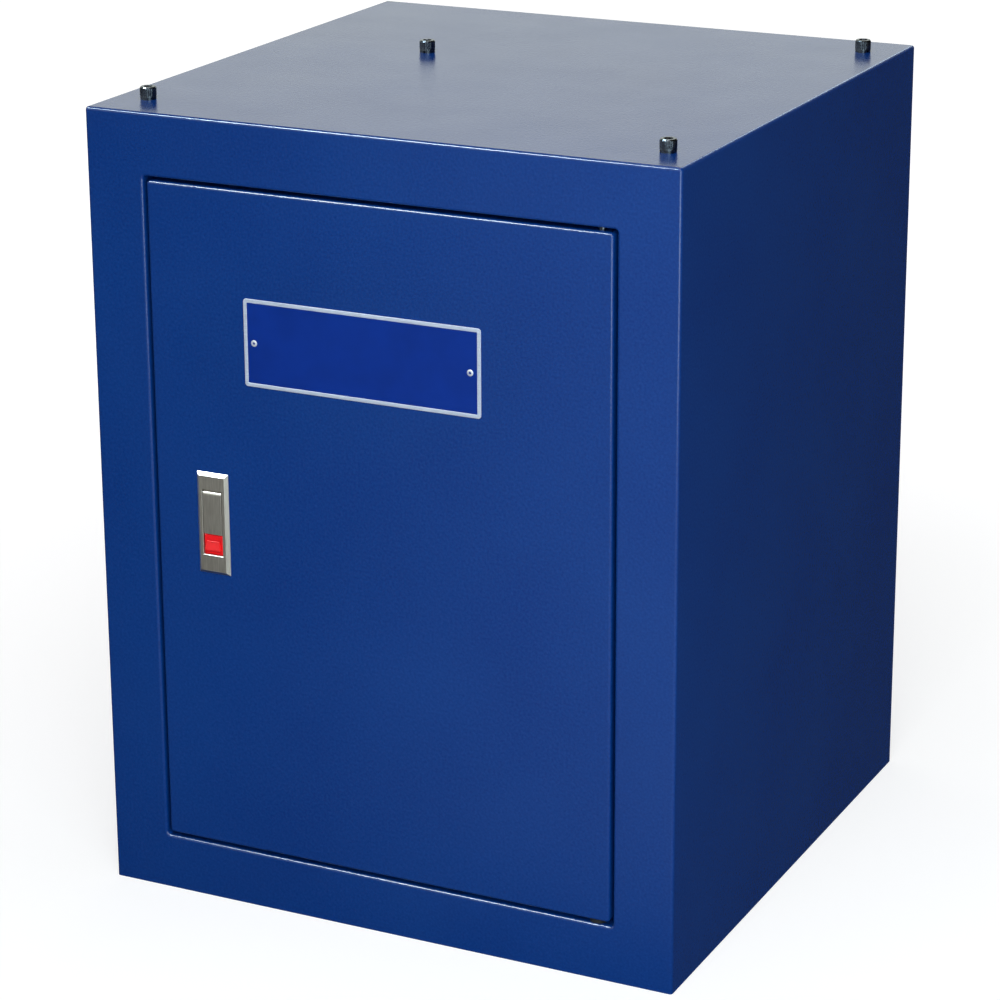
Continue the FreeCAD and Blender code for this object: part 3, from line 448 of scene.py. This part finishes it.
def cap_screw_tree():
    """Socket head cap screws: knurled head with a hexagon socket on z = 0, and a threaded shank below."""
    tree, given = new_tree("socket_cap_screws", (
        "Head Radius", "Head Height", "Head Chamfer", "Knurl Teeth", "Knurl Depth", "Socket Flats",
        "Socket Depth", "Socket Mouth", "Shank Radius", "Shank Length", "Thread Pitch", "Thread Depth"))
    at = add(tree, "ShaderNodeSeparateXYZ", {0: add(tree, "GeometryNodeInputPosition").outputs[0]}).outputs
    angle = add(tree, "ShaderNodeMath", {0: at[1], 1: at[0]}, operation="ARCTAN2").outputs[0]

    # head: the knurl is a wave round the side, and stops short of the seat as it does of the top
    around = add(tree, "ShaderNodeMath", {0: given["Knurl Teeth"], 1: KNURL_POINTS},
                 operation="MULTIPLY").outputs[0]
    blank = add(tree, "GeometryNodeMeshCylinder", {
        "Vertices": around, "Side Segments": 8, "Radius": given["Head Radius"],
        "Depth": given["Head Height"]}, fill_type="NGON").outputs["Mesh"]
    turns = add(tree, "ShaderNodeMath", {0: angle, 1: given["Knurl Teeth"]}, operation="MULTIPLY").outputs[0]
    wave = add(tree, "ShaderNodeMath", {0: turns}, operation="COSINE").outputs[0]
    dip = add(tree, "ShaderNodeMath", {0: wave, 1: -1.0}, operation="ADD").outputs[0]
    groove = add(tree, "ShaderNodeMath", {0: dip, 1: given["Knurl Depth"]}, operation="MULTIPLY").outputs[0]
    half = add(tree, "ShaderNodeMath", {0: given["Head Height"], 1: 0.5}, operation="MULTIPLY").outputs[0]
    reach = add(tree, "ShaderNodeMath", {0: half, 1: given["Head Chamfer"]}, operation="SUBTRACT").outputs[0]
    height = add(tree, "ShaderNodeMath", {0: at[2]}, operation="ABSOLUTE").outputs[0]
    band = add(tree, "ShaderNodeMath", {0: height, 1: reach}, operation="LESS_THAN").outputs[0]
    knurl = add(tree, "ShaderNodeMath", {0: groove, 1: band}, operation="MULTIPLY").outputs[0]
    on_top = add(tree, "ShaderNodeMath", {0: at[2], 1: reach}, operation="GREATER_THAN").outputs[0]
    chamfer = add(tree, "ShaderNodeMath", {0: on_top, 1: given["Head Chamfer"]},
                  operation="MULTIPLY").outputs[0]
    change = add(tree, "ShaderNodeMath", {0: knurl, 1: chamfer}, operation="SUBTRACT").outputs[0]
    shaped = radial_move(tree, blank, change, given["Head Radius"])
    lift = add(tree, "ShaderNodeCombineXYZ", {2: half}).outputs[0]
    head = add(tree, "GeometryNodeTransform", {"Geometry": shaped, "Translation": lift}).outputs[0]

    # socket: a hexagon and a countersink cut from the top
    corner_r = add(tree, "ShaderNodeMath", {0: given["Socket Flats"], 1: 1 / sqrt(3)},
                   operation="MULTIPLY").outputs[0]
    deep = add(tree, "ShaderNodeMath", {0: given["Socket Depth"], 1: 2.0}, operation="MULTIPLY").outputs[0]
    key = add(tree, "GeometryNodeMeshCylinder", {"Vertices": 6, "Radius": corner_r, "Depth": deep},
              fill_type="NGON").outputs["Mesh"]
    top = add(tree, "ShaderNodeCombineXYZ", {2: given["Head Height"]}).outputs[0]
    key_cut = add(tree, "GeometryNodeTransform", {"Geometry": key, "Translation": top}).outputs[0]
    socketed = add(tree, "GeometryNodeMeshBoolean", {"Mesh 1": head, "Mesh 2": key_cut},
                   operation="DIFFERENCE", solver="MANIFOLD").outputs[0]
    mouth_r = add(tree, "ShaderNodeMath", {0: corner_r, 1: given["Socket Mouth"]}, operation="ADD").outputs[0]
    floor_r = add(tree, "ShaderNodeMath", {0: corner_r, 1: given["Socket Mouth"]},
                  operation="SUBTRACT").outputs[0]
    sink_depth = add(tree, "ShaderNodeMath", {0: given["Socket Mouth"], 1: 2.0},
                     operation="MULTIPLY").outputs[0]
    sink = add(tree, "GeometryNodeMeshCone", {
        "Vertices": ROUND_POINTS, "Radius Top": mouth_r, "Radius Bottom": floor_r, "Depth": sink_depth},
        fill_type="NGON").outputs["Mesh"]
    sink_z = add(tree, "ShaderNodeMath", {0: given["Head Height"], 1: sink_depth},
                 operation="SUBTRACT").outputs[0]
    just_over = add(tree, "ShaderNodeMath", {0: sink_z, 1: OVERCUT * MM}, operation="ADD").outputs[0]
    sink_place = add(tree, "ShaderNodeCombineXYZ", {2: just_over}).outputs[0]
    sink_cut = add(tree, "GeometryNodeTransform", {"Geometry": sink, "Translation": sink_place}).outputs[0]
    finished_head = add(tree, "GeometryNodeMeshBoolean", {"Mesh 1": socketed, "Mesh 2": sink_cut},
                        operation="DIFFERENCE", solver="MANIFOLD").outputs[0]

    # shank: the thread is an even zigzag that climbs by one pitch each turn
    pitches = add(tree, "ShaderNodeMath", {0: given["Shank Length"], 1: given["Thread Pitch"]},
                  operation="DIVIDE").outputs[0]
    rings = add(tree, "ShaderNodeMath", {0: pitches, 1: THREAD_RINGS}, operation="MULTIPLY").outputs[0]
    rod = add(tree, "GeometryNodeMeshCylinder", {
        "Vertices": SHANK_POINTS, "Side Segments": rings, "Radius": given["Shank Radius"],
        "Depth": given["Shank Length"]}, fill_type="NGON").outputs["Mesh"]
    climbed = add(tree, "ShaderNodeMath", {0: at[2], 1: given["Thread Pitch"]}, operation="DIVIDE").outputs[0]
    turned = add(tree, "ShaderNodeMath", {0: angle, 1: 2 * pi}, operation="DIVIDE").outputs[0]
    phase = add(tree, "ShaderNodeMath", {0: climbed, 1: turned}, operation="SUBTRACT").outputs[0]
    tooth = add(tree, "ShaderNodeMath", {0: phase, 1: 0.5}, operation="PINGPONG").outputs[0]
    depth = add(tree, "ShaderNodeMath", {0: tooth, 1: given["Thread Depth"]}, operation="MULTIPLY").outputs[0]
    inward = add(tree, "ShaderNodeMath", {0: depth, 1: -2.0}, operation="MULTIPLY").outputs[0]
    threaded = radial_move(tree, rod, inward, given["Shank Radius"])
    drop = add(tree, "ShaderNodeMath", {0: given["Shank Length"], 1: -0.5}, operation="MULTIPLY").outputs[0]
    below = add(tree, "ShaderNodeCombineXYZ", {2: drop}).outputs[0]
    shank = add(tree, "GeometryNodeTransform", {"Geometry": threaded, "Translation": below}).outputs[0]

    screw = add(tree, "GeometryNodeJoinGeometry", {"Geometry": [finished_head, shank]}).outputs[0]
    turned_by_chance = add(tree, "FunctionNodeRandomValue", {
        0: (0, 0, 0), 1: (0, 0, 2 * pi), "Seed": SCREW_SEED}, data_type="FLOAT_VECTOR").outputs[0]
    put_on_places(tree, given, screw, turned_by_chance)
    return tree


def spring_washer_tree():
    """Split spring washers: a rectangular section wound almost once round, its ends a little apart."""
    tree, given = new_tree("split_spring_washers", ("Outer Radius", "Hole Radius", "Thickness", "Gap"))
    both = add(tree, "ShaderNodeMath", {0: given["Outer Radius"], 1: given["Hole Radius"]},
               operation="ADD").outputs[0]
    mid_r = add(tree, "ShaderNodeMath", {0: both, 1: 0.5}, operation="MULTIPLY").outputs[0]
    gap_turn = add(tree, "ShaderNodeMath", {0: given["Gap"], 1: mid_r}, operation="DIVIDE").outputs[0]
    sweep = add(tree, "ShaderNodeMath", {0: 2 * pi, 1: gap_turn}, operation="SUBTRACT").outputs[0]
    line = add(tree, "GeometryNodeCurveArc", {
        "Resolution": COIL_POINTS, "Radius": mid_r, "Sweep Angle": sweep}, mode="RADIUS").outputs[0]
    width = add(tree, "ShaderNodeMath", {0: given["Outer Radius"], 1: given["Hole Radius"]},
                operation="SUBTRACT").outputs[0]
    section = add(tree, "GeometryNodeCurvePrimitiveQuadrilateral", {
        "Width": width, "Height": given["Thickness"]}).outputs[0]
    coil = add(tree, "GeometryNodeCurveToMesh", {"Curve": line, "Profile Curve": section,
                                                 "Fill Caps": True}).outputs[0]
    turned_by_chance = add(tree, "FunctionNodeRandomValue", {
        0: (0, 0, 0), 1: (0, 0, 2 * pi), "Seed": WASHER_SEED}, data_type="FLOAT_VECTOR").outputs[0]
    put_on_places(tree, given, coil, turned_by_chance)
    return tree


def blind_rivet_tree():
    """Dome head blind rivets that face -Y, with the bore that the mandrel leaves, and the tail behind."""
    tree, given = new_tree("blind_rivets", ("Head Radius", "Head Height", "Rim Height", "Bore Radius",
                                            "Bore Depth", "Body Radius", "Body Length"))
    at = add(tree, "ShaderNodeSeparateXYZ", {0: add(tree, "GeometryNodeInputPosition").outputs[0]}).outputs
    blank = add(tree, "GeometryNodeMeshCylinder", {
        "Vertices": ROUND_POINTS, "Fill Segments": 8, "Radius": given["Head Radius"],
        "Depth": given["Rim Height"]}, fill_type="TRIANGLE_FAN").outputs["Mesh"]
    x_square = add(tree, "ShaderNodeMath", {0: at[0], 1: 2.0}, operation="POWER").outputs[0]
    y_square = add(tree, "ShaderNodeMath", {0: at[1], 1: 2.0}, operation="POWER").outputs[0]
    r_square = add(tree, "ShaderNodeMath", {0: x_square, 1: y_square}, operation="ADD").outputs[0]
    full = add(tree, "ShaderNodeMath", {0: given["Head Radius"], 1: 2.0}, operation="POWER").outputs[0]
    share = add(tree, "ShaderNodeMath", {0: r_square, 1: full}, operation="DIVIDE").outputs[0]
    fall = add(tree, "ShaderNodeMath", {0: 1.0, 1: share}, operation="SUBTRACT", use_clamp=True).outputs[0]
    dome = add(tree, "ShaderNodeMath", {0: fall, 1: 0.5}, operation="POWER").outputs[0]
    rise = add(tree, "ShaderNodeMath", {0: given["Head Height"], 1: given["Rim Height"]},
               operation="SUBTRACT").outputs[0]
    upper = add(tree, "ShaderNodeMath", {0: at[2], 1: 0.0}, operation="GREATER_THAN").outputs[0]
    lifted = add(tree, "ShaderNodeMath", {0: dome, 1: rise}, operation="MULTIPLY").outputs[0]
    only_top = add(tree, "ShaderNodeMath", {0: lifted, 1: upper}, operation="MULTIPLY").outputs[0]
    offset = add(tree, "ShaderNodeCombineXYZ", {2: only_top}).outputs[0]
    domed = add(tree, "GeometryNodeSetPosition", {"Geometry": blank, "Offset": offset}).outputs[0]
    half_rim = add(tree, "ShaderNodeMath", {0: given["Rim Height"], 1: 0.5}, operation="MULTIPLY").outputs[0]
    up = add(tree, "ShaderNodeCombineXYZ", {2: half_rim}).outputs[0]
    head = add(tree, "GeometryNodeTransform", {"Geometry": domed, "Translation": up}).outputs[0]
    body = add(tree, "GeometryNodeMeshCylinder", {
        "Vertices": ROUND_POINTS, "Radius": given["Body Radius"], "Depth": given["Body Length"]},
        fill_type="NGON").outputs["Mesh"]
    sunk = add(tree, "ShaderNodeMath", {0: given["Body Length"], 1: -0.5}, operation="MULTIPLY").outputs[0]
    a_little_in = add(tree, "ShaderNodeMath", {0: sunk, 1: half_rim}, operation="ADD").outputs[0]
    behind = add(tree, "ShaderNodeCombineXYZ", {2: a_little_in}).outputs[0]
    tail = add(tree, "GeometryNodeTransform", {"Geometry": body, "Translation": behind}).outputs[0]
    whole = add(tree, "GeometryNodeMeshBoolean", {"Mesh 2": [head, tail]}, operation="UNION",
                solver="MANIFOLD").outputs[0]
    twice = add(tree, "ShaderNodeMath", {0: given["Bore Depth"], 1: 2.0}, operation="MULTIPLY").outputs[0]
    drill = add(tree, "GeometryNodeMeshCylinder", {
        "Vertices": BORE_POINTS, "Radius": given["Bore Radius"], "Depth": twice},
        fill_type="NGON").outputs["Mesh"]
    mouth = add(tree, "ShaderNodeCombineXYZ", {2: given["Head Height"]}).outputs[0]
    drill_cut = add(tree, "GeometryNodeTransform", {"Geometry": drill, "Translation": mouth}).outputs[0]
    bored = add(tree, "GeometryNodeMeshBoolean", {"Mesh 1": whole, "Mesh 2": drill_cut},
                operation="DIFFERENCE", solver="MANIFOLD").outputs[0]
    put_on_places(tree, given, bored, (pi / 2, 0, 0))
    return tree


def top_fasteners():
    """The cap screws that hold the machine, and the spring washer under each head."""
    screws = solids_of("top_cap_screws")
    washers = solids_of("top_lock_washers")
    low, high = screws[0]
    seat = washers[0][1].z
    head_r = (high.x - low.x) / 2
    seats = [((low.x + high.x) / 2, (low.y + high.y) / 2, seat) for low, high in screws]
    grown("cap_screws_knurled", cap_screw_tree(), seats, "top_cap_screws", {
        "Head Radius": head_r, "Head Height": high.z - seat, "Head Chamfer": SCREW_HEAD_CHAMFER * MM,
        "Knurl Teeth": SCREW_KNURL_TEETH, "Knurl Depth": SCREW_KNURL_DEPTH / 2 * MM,
        "Socket Flats": SOCKET_FLATS * MM, "Socket Depth": SOCKET_DEPTH * MM,
        "Socket Mouth": SOCKET_MOUTH * MM, "Shank Radius": SCREW_R * MM, "Shank Length": seat - low.z,
        "Thread Pitch": SCREW_PITCH * MM, "Thread Depth": SCREW_THREAD_DEPTH * MM})
    low, high = washers[0]
    middles = [tuple((low + high) / 2) for low, high in washers]
    grown("spring_washers_split", spring_washer_tree(), middles, "top_lock_washers", {
        "Outer Radius": (high.y - low.y) / 2, "Hole Radius": WASHER_HOLE_R * MM,
        "Thickness": high.z - low.z, "Gap": WASHER_GAP * MM})


def plate_rivets():
    """The two blind rivets of the nameplate, seated on its enamel."""
    field_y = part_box("nameplate")[0].y + PLATE_FIELD_DEPTH * MM
    solids = solids_of("nameplate_rivets")
    low, high = solids[0]
    places = [((low.x + high.x) / 2, field_y, (low.z + high.z) / 2) for low, high in solids]
    grown("blind_rivets_domed", blind_rivet_tree(), places, "nameplate_rivets", {
        "Head Radius": (high.x - low.x) / 2, "Head Height": field_y - low.y, "Rim Height": RIVET_RIM * MM,
        "Bore Radius": RIVET_BORE_R * MM, "Bore Depth": RIVET_BORE_DEPTH * MM,
        "Body Radius": RIVET_R * MM, "Body Length": high.y - field_y})


# ---------------------------------------------------------------- the cabinet, dressed

WELDED_SHEETS = ("front_frame", "side_panel_left", "side_panel_right", "back_panel", "top_panel")
FOLDED_SHEETS = ("door_panel", "door_stiffener_upper", "door_stiffener_lower", "floor_pan", "top_rail_front",
                 "top_rail_middle", "top_rail_rear", "door_stop_angle")
SMALL_PARTS = {                 # node: how far its sharp edges are rounded, in millimetres
    "latch_housing": 0.05, "latch_handle": 0.08, "release_button": 0.3, "latch_clamp_plate": 0.2,
    "latch_cam": 0.3, "cam_shaft": 0.2, "cam_washer": 0.15, "cam_nut": 0.3, "latch_stud_nuts": 0.25,
    "top_weld_nuts": 0.4, "hinge_boss_upper": 0.5, "hinge_boss_lower": 0.5, "hinge_pin_upper": 0.2,
    "hinge_pin_lower": 0.2, "door_bush_upper": 0.2, "door_bush_lower": 0.2, "hinge_thrust_washer": 0.15,
}

for sheet in WELDED_SHEETS:
    dressed(sheet, sheet + "_coated")
for sheet in FOLDED_SHEETS:
    dressed(sheet, sheet + "_coated", COAT_EDGE)
for part, edge in SMALL_PARTS.items():
    dressed(part, part + "_finished", edge)
nameplate()
top_fasteners()
plate_rivets()


# ---------------------------------------------------------------- camera, light and floor

CAMERA_PLACE = Vector((1.1348, -2.3607, 1.1845))
CAMERA_TURN = radians(26.0)      # to the right of the cabinet's middle line
CAMERA_DOWN = radians(17.85)
CAMERA_ROLL = radians(0.26)
CAMERA_LENS = 118.9              # on a sensor 36 mm wide
CAMERA_SHIFT_Y = -0.06
CAMERA_SEES_TO = 100.0


def make_camera():
    """Long lens, a little above the cabinet and to its right."""
    data = bpy.data.cameras.new("camera")
    data.lens, data.shift_y = CAMERA_LENS, CAMERA_SHIFT_Y
    data.clip_end = CAMERA_SEES_TO
    made = bpy.data.objects.new("camera", data)
    bpy.context.scene.collection.objects.link(made)
    level = Matrix.Rotation(CAMERA_TURN, 4, "Z") @ Matrix.Rotation(pi / 2 - CAMERA_DOWN, 4, "X")
    made.matrix_world = Matrix.Translation(CAMERA_PLACE) @ level @ Matrix.Rotation(-CAMERA_ROLL, 4, "Z")
    bpy.context.scene.camera = made


def softbox(name, place, aim, width, height, radiance, tint, lights_sheets):
    """A rectangular lamp that faces a point. Radiance 1 looks as bright as a white page in full light."""
    data = bpy.data.lights.new(name, "AREA")
    data.shape, data.size, data.size_y = "RECTANGLE", width, height
    data.energy = radiance * 4 * width * height          # watts that give an area lamp this radiance
    data.color = tint
    made = bpy.data.objects.new(name, data)
    bpy.context.scene.collection.objects.link(made)
    made.location = place
    made.rotation_euler = (Vector(aim) - Vector(place)).to_track_quat("-Z", "Y").to_euler()
    made.visible_camera = False
    made.visible_diffuse = lights_sheets


# The room in reflections and as light. A direction is a unit vector: height 0 is the horizon, 1 straight up.
WALLS_END = (0.33, 0.45)         # heights over which the white walls give way to the dim ceiling
WALL_WHITE = 1.07
CEILING_DIM = 0.03
DARK_SIDE = (0.05, 0.25)         # how far to the right the room falls dark
DARK_SIDE_SHARE = 0.05           # and what is left of it there
ROOM_TINT = (1.0, 1.06, 0.98, 1)
LIGHT_END = (0.4, 0.75)          # heights over which the even grey light falls off
LIGHT_LOW = 0.5
LIGHT_HIGH = 0.08

# the floor, in metres
FLOOR_REACH = 30.0
FLOOR_DROP = 0.2 * MM            # keeps it just clear of the cabinet's foot
FLOOR_PALE = (0.45, 0.45, 0.46, 1)
POOL_SLANT = -0.54               # the painted pool of light, a glow that only reflections see, lies in front, on the right of a line with this slant
POOL_ACROSS = (-0.05, 0.5)       # over which it comes up to its strength
POOL_STRENGTH = 0.28
POOL_STARTS = (-0.25, -0.5)      # how far in front of the cabinet's middle it comes up
FLOOR_DIM = 0.035                # painted dark glow that reflections see of the rest of the floor, in place of its lit reflection
GLARE_REACH = (0.5, 1.8)         # distances over which the floor turns from pale to white
GLARE = (0.68, 0.95)

WHITE = (1, 1, 1)
SOFTBOXES = (    # name, place, aim, width, height, radiance, tint, whether it lights the sheets
    ("lamp_low_right", (0.95, -1.35, 0.62), (0, -0.25, 0.4), 0.8, 1.1, 3.6, (0.8, 0.98, 1.0), True),
    ("lamp_high_right", (0.6, -2.0, 2.5), (0, 0, 0.4), 1.2, 1.2, 6.3, WHITE, True),
    ("lamp_over_top", (0.0, 0.2, 2.6), (0, 0.1, 0.65), 1.0, 1.0, 3.3, WHITE, True),
    # these two are only seen in the bends and in the top
    ("tube_for_glints", (-1.12, -1.45, 2.45), (0, -0.2, 0.4), 1.0, 0.4, 52.0, (0.76, 0.95, 1.0), False),
    ("lamp_behind", (-0.05, 2.75, 1.82), (0.1, 0, 0.6), 0.7, 0.45, 3.0, (0.72, 0.9, 1.0), False),
)


def white_studio():
    """White to the camera; in reflections white low down, dim above and on the right; grey as light."""
    world = bpy.data.worlds.new("white_studio")
    bpy.context.scene.world = world
    world.use_nodes = True
    tree = world.node_tree
    tree.nodes.clear()
    path = add(tree, "ShaderNodeLightPath").outputs
    way = add(tree, "ShaderNodeTexCoord").outputs["Generated"]
    across, _, height = add(tree, "ShaderNodeSeparateXYZ", {0: way}).outputs
    walls = add(tree, "ShaderNodeMapRange", {
        "Value": height, "From Min": WALLS_END[0], "From Max": WALLS_END[1],
        "To Min": WALL_WHITE, "To Max": CEILING_DIM}).outputs[0]
    side = add(tree, "ShaderNodeMapRange", {
        "Value": across, "From Min": DARK_SIDE[0], "From Max": DARK_SIDE[1],
        "To Min": 1.0, "To Max": DARK_SIDE_SHARE}).outputs[0]
    mirrored = add(tree, "ShaderNodeMath", {0: path["Is Glossy Ray"], 1: path["Is Transmission Ray"]},
                   operation="ADD").outputs[0]
    seen = add(tree, "ShaderNodeMath", {0: walls, 1: side}, operation="MULTIPLY").outputs[0]
    room = add(tree, "ShaderNodeBackground", {"Color": ROOM_TINT, "Strength": seen}).outputs[0]
    low_light = add(tree, "ShaderNodeMapRange", {
        "Value": height, "From Min": LIGHT_END[0], "From Max": LIGHT_END[1],
        "To Min": LIGHT_LOW, "To Max": LIGHT_HIGH}).outputs[0]
    grey = add(tree, "ShaderNodeBackground", {"Color": (1, 1, 1, 1), "Strength": low_light}).outputs[0]
    white = add(tree, "ShaderNodeBackground", {"Color": (1, 1, 1, 1), "Strength": 1.0}).outputs[0]
    reflected = add(tree, "ShaderNodeMixShader", {0: mirrored, 1: grey, 2: room}).outputs[0]
    both = add(tree, "ShaderNodeMixShader", {0: path["Is Camera Ray"], 1: reflected, 2: white}).outputs[0]
    add(tree, "ShaderNodeOutputWorld", {"Surface": both})


def floor_paint():
    """Pale matt paint, to the camera whiter far out; in reflections a painted dark glow, with a painted pool
    of light.
    """
    made, tree = new_material("painted_studio_floor")
    pale = add(tree, "ShaderNodeBsdfDiffuse", {"Color": FLOOR_PALE}).outputs[0]
    place = add(tree, "ShaderNodeTexCoord").outputs["Object"]
    across, along, _ = add(tree, "ShaderNodeSeparateXYZ", {0: place}).outputs
    # painted pool of light: an emission on the floor that only reflections see, lit by no lamp
    slant = add(tree, "ShaderNodeMath", {0: along, 1: POOL_SLANT, 2: across},
                operation="MULTIPLY_ADD").outputs[0]
    pool = add(tree, "ShaderNodeMapRange", {
        "Value": slant, "From Min": POOL_ACROSS[0], "From Max": POOL_ACROSS[1],
        "To Min": 0.0, "To Max": POOL_STRENGTH}).outputs[0]
    in_front = add(tree, "ShaderNodeMapRange", {
        "Value": along, "From Min": POOL_STARTS[0], "From Max": POOL_STARTS[1],
        "To Min": 0.0, "To Max": 1.0}).outputs[0]
    painted_pool_of_light = add(tree, "ShaderNodeMath", {0: pool, 1: in_front}, operation="MULTIPLY").outputs[0]
    dim = add(tree, "ShaderNodeMath", {0: painted_pool_of_light, 1: FLOOR_DIM}, operation="ADD").outputs[0]
    painted_dark_reflection = add(tree, "ShaderNodeEmission", {"Color": (1, 1, 1, 1), "Strength": dim}).outputs[0]
    away = add(tree, "ShaderNodeVectorMath", {0: place}, operation="LENGTH").outputs["Value"]
    glare = add(tree, "ShaderNodeMapRange", {
        "Value": away, "From Min": GLARE_REACH[0], "From Max": GLARE_REACH[1],
        "To Min": GLARE[0], "To Max": GLARE[1]}).outputs[0]
    glow = add(tree, "ShaderNodeEmission", {"Color": (1, 1, 1, 1), "Strength": glare}).outputs[0]
    lit = add(tree, "ShaderNodeAddShader", {0: pale, 1: glow}).outputs[0]
    path = add(tree, "ShaderNodeLightPath").outputs
    # painted reflection: to glossy rays the floor is a fixed dim glow plus the painted pool, unlit by the
    # lamps
    bounced = add(tree, "ShaderNodeMixShader", {0: path["Is Glossy Ray"], 1: pale, 2: painted_dark_reflection}).outputs[0]
    both = add(tree, "ShaderNodeMixShader", {0: path["Is Camera Ray"], 1: bounced, 2: lit}).outputs[0]
    add(tree, "ShaderNodeOutputMaterial", {"Surface": both})
    return made


def studio_floor():
    """A wide flat floor, just under the cabinet."""
    mesh = bpy.data.meshes.new("floor")
    reach = FLOOR_REACH
    mesh.from_pydata([(-reach, -reach, 0), (reach, -reach, 0), (reach, reach, 0), (-reach, reach, 0)], [],
                     [(0, 1, 2, 3)])
    floor = bpy.data.objects.new("floor", mesh)
    bpy.context.scene.collection.objects.link(floor)
    floor.location.z = -FLOOR_DROP
    mesh.materials.append(floor_paint())


make_camera()
white_studio()
studio_floor()
for lamp in SOFTBOXES:
    softbox(*lamp)
bpy.context.scene.view_settings.view_transform = "Standard"
